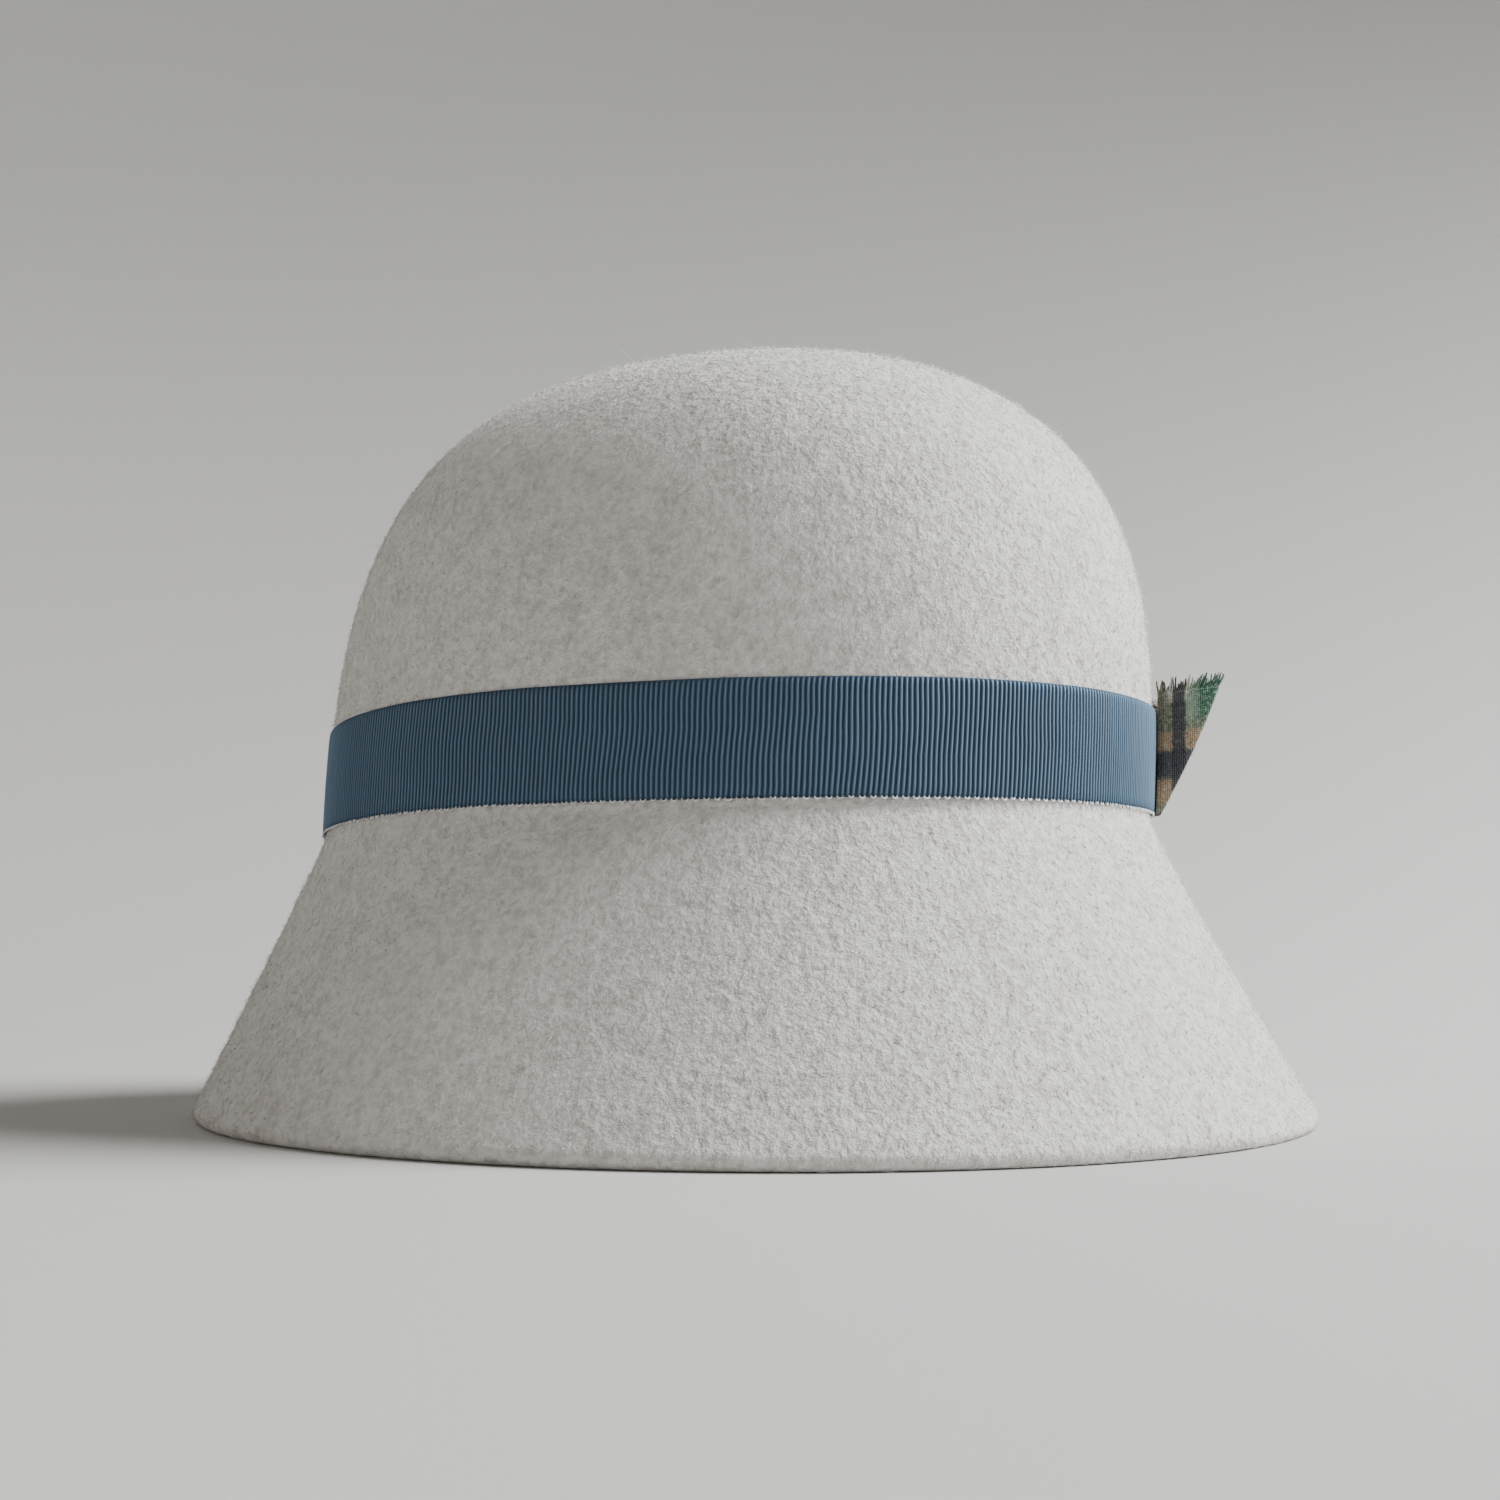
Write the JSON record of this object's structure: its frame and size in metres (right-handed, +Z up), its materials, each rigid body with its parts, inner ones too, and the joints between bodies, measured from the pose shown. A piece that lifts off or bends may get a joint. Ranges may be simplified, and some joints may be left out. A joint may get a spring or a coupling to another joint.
{
  "type": "cloche hat",
  "caption": "Bell-shaped felt hat with a deep flared brim and turned-in hem, a ribbon round the crown and a small pleated plaid fan.",
  "frame": {"origin": "middle of the brim's outline, on the surface that the hat rests on", "axes": "+Z up through the crown, -Y the front of the hat, +X the wearer's left"},
  "size_m": [0.2502, 0.2661, 0.1805],
  "materials": {
    "felt": "soft matt wool felt, pale warm grey with lighter and darker fibres",
    "ribbon": "slate-blue ribbed ribbon with a slight sheen and small loops along its lower edge",
    "plaid": "matt woven wool plaid of green, olive, tan and black, frayed along its top"
  },
  "bodies": {
    "root": {"felt_body": "felt", "ribbon_band": "ribbon", "plaid_fan": "plaid"}
  },
  "joints": []
}
